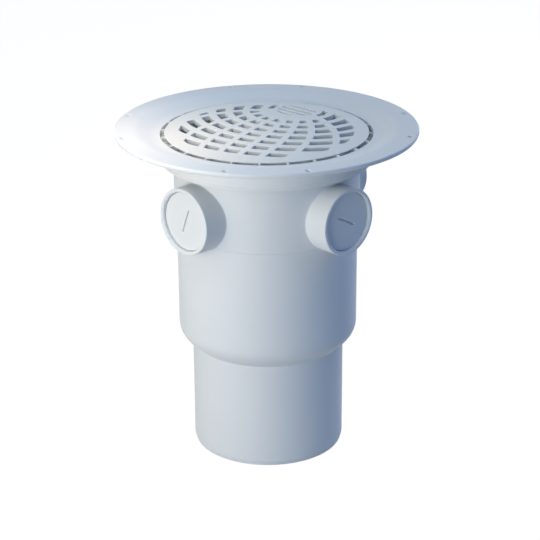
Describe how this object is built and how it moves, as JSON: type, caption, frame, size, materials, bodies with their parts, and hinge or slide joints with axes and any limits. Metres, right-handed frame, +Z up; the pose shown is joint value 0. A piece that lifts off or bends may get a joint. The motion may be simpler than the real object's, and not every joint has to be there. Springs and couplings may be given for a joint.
{
  "type": "floor drain",
  "caption": "Plastic floor drain with a crowned round grate in a wide dished flange, a stepped body with plugged side inlets, a drop-in odour trap and a spigot outlet.",
  "frame": {"origin": "centre of the outlet spigot's lower end, which is the lowest point of the drain", "axes": "+Z up along the drain's axis, -Y towards the viewer of the picture, +X to their right"},
  "size_m": [0.2142, 0.2142, 0.2404],
  "materials": {
    "body_plastic": "satin white moulded plastic",
    "frame_plastic": "satin white moulded plastic",
    "grate_plastic": "satin white moulded plastic",
    "plug_plastic": "satin white moulded plastic",
    "trap_plastic": "plain light grey moulded plastic",
    "seal_rubber": "matte black rubber"
  },
  "bodies": {
    "drain": {"drain_body": "body_plastic", "top_frame": "frame_plastic", "frame_seal": "seal_rubber", "grate": "grate_plastic", "trap_funnel": "trap_plastic", "trap_cup": "trap_plastic", "trap_gasket": "seal_rubber"},
    "left_seal": {"left_plug_seal": "seal_rubber"},
    "left_plug": {"left_plug": "plug_plastic"},
    "right_seal": {"right_plug_seal": "seal_rubber"},
    "right_plug": {"right_plug": "plug_plastic"},
    "rear_seal": {"rear_plug_seal": "seal_rubber"},
    "rear_plug": {"rear_plug": "plug_plastic"}
  },
  "joints": [
    {"name": "left_plug_travel", "type": "slide", "parent": "drain", "child": "left_seal", "axis": [-0.7169, -0.6972, 0], "range_m": [0, 0.00925]},
    {"name": "left_plug_turn", "type": "hinge", "parent": "left_seal", "child": "left_plug", "pos_m": [0, 0, 0.1889], "axis": [-0.7169, -0.6972, 0], "range_deg": [0, 1440]},
    {"name": "right_plug_travel", "type": "slide", "parent": "drain", "child": "right_seal", "axis": [0.6984, -0.7157, 0], "range_m": [0, 0.00925]},
    {"name": "right_plug_turn", "type": "hinge", "parent": "right_seal", "child": "right_plug", "pos_m": [0, 0, 0.1889], "axis": [0.6984, -0.7157, 0], "range_deg": [0, 1440]},
    {"name": "rear_plug_travel", "type": "slide", "parent": "drain", "child": "rear_seal", "axis": [0.7071, 0.7071, 0], "range_m": [0, 0.00925]},
    {"name": "rear_plug_turn", "type": "hinge", "parent": "rear_seal", "child": "rear_plug", "pos_m": [0, 0, 0.1889], "axis": [0.7071, 0.7071, 0], "range_deg": [0, 1440]}
  ],
  "couplings": [
    {"joint": "left_plug_travel", "follows": "left_plug_turn", "m_per_rad": 0.00036749},
    {"joint": "right_plug_travel", "follows": "right_plug_turn", "m_per_rad": 0.00036749},
    {"joint": "rear_plug_travel", "follows": "rear_plug_turn", "m_per_rad": 0.00036749}
  ]
}
